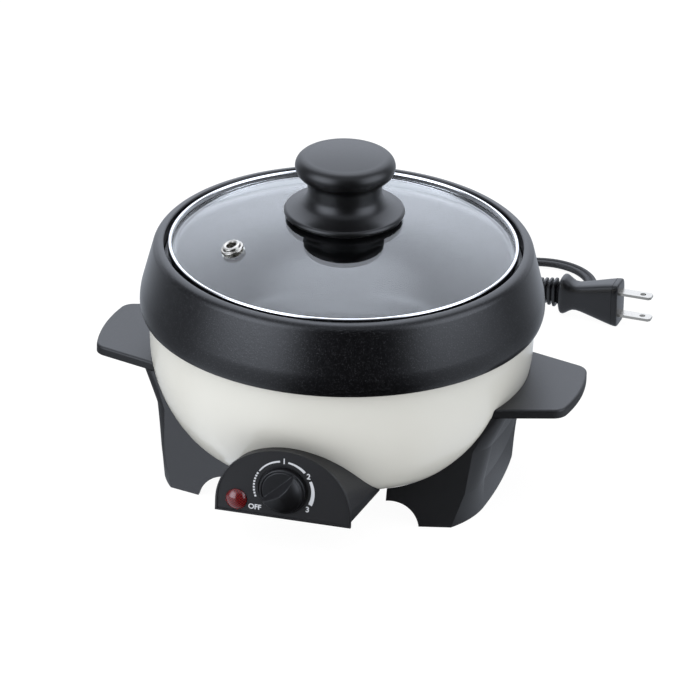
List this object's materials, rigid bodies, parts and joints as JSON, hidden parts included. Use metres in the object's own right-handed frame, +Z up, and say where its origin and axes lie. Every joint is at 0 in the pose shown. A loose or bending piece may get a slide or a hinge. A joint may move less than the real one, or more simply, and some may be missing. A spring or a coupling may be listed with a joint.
{
  "type": "electric chocolate melting pot",
  "caption": "Round electric tabletop pot with a domed glass lift-off lid, cast pan band, painted bowl, hollow handle legs and a front housing with a rotary heat dial.",
  "frame": {"origin": "the middle of the pot's outline seen from above, without its cord, at the level of the table that the feet stand on; the pot's upright axis is 7.82 mm behind it, at +Y", "axes": "+Z up along the pot's axis, -Y towards the control panel, +X towards the handle on the panel viewer's right"},
  "size_m": [0.2542, 0.3758, 0.175],
  "materials": {
    "clear_glass": "clear tempered glass",
    "chromed_ring": "bright chromed sheet",
    "knob_black": "satin phenolic",
    "silicone": "matt",
    "plain_steel": "plain",
    "nickel": "nickel plated",
    "nonstick_black": "black non-stick coating with a fine speckle",
    "ivory_paint": "gloss ivory enamel paint",
    "bright_sheet": "aluminised sheet",
    "heater_steel": "oxidised steel tube",
    "fuse_case": "plain",
    "ceramic_white": "unglazed",
    "leg_black": "fine satin texture",
    "housing_black": "satin",
    "dial_black": "satin",
    "shaft_brass": "turned",
    "lens_red": "translucent red",
    "neon_glass": "small neon lamp",
    "cord_black": "soft vinyl",
    "plug_black": "moulded vinyl",
    "wire_sleeve": "silicone sleeve"
  },
  "bodies": {
    "base": {"pan": "nonstick_black", "bowl_shell": "ivory_paint", "pan_studs": "plain_steel", "spacer_sleeves": "plain_steel", "stud_nuts": "plain_steel", "heat_reflector": "bright_sheet", "bottom_plate": "bright_sheet", "heating_element": "heater_steel", "thermal_fuse": "fuse_case", "terminal_block": "ceramic_white", "right_leg_handle": "leg_black", "left_leg_handle": "leg_black", "leg_screws": "plain_steel", "control_housing": "housing_black", "housing_screws": "plain_steel", "thermostat_body": "fuse_case", "indicator_lens": "lens_red", "neon_lamp": "neon_glass", "cord_gland": "cord_black", "cord_coil": "cord_black", "power_cord": "cord_black", "plug_body": "plug_black", "plug_blades": "nickel", "lead_wires": "wire_sleeve"},
    "lid": {"lid_glass": "clear_glass", "lid_rim": "chromed_ring", "lid_knob": "knob_black", "knob_gasket": "silicone", "knob_washer": "plain_steel", "knob_screw": "plain_steel", "vent_eyelet": "nickel"},
    "dial": {"dial_knob": "dial_black", "thermostat_shaft": "shaft_brass"}
  },
  "joints": [
    {"name": "lid_lift", "type": "slide", "parent": "base", "child": "lid", "axis": [0, 0, 1], "range_m": [0, 0.15]},
    {"name": "dial_turn", "type": "hinge", "parent": "base", "child": "dial", "pos_m": [0, -0.10134, 0.0363], "axis": [0, 0.9986, -0.0523], "range_deg": [0, 257]}
  ]
}
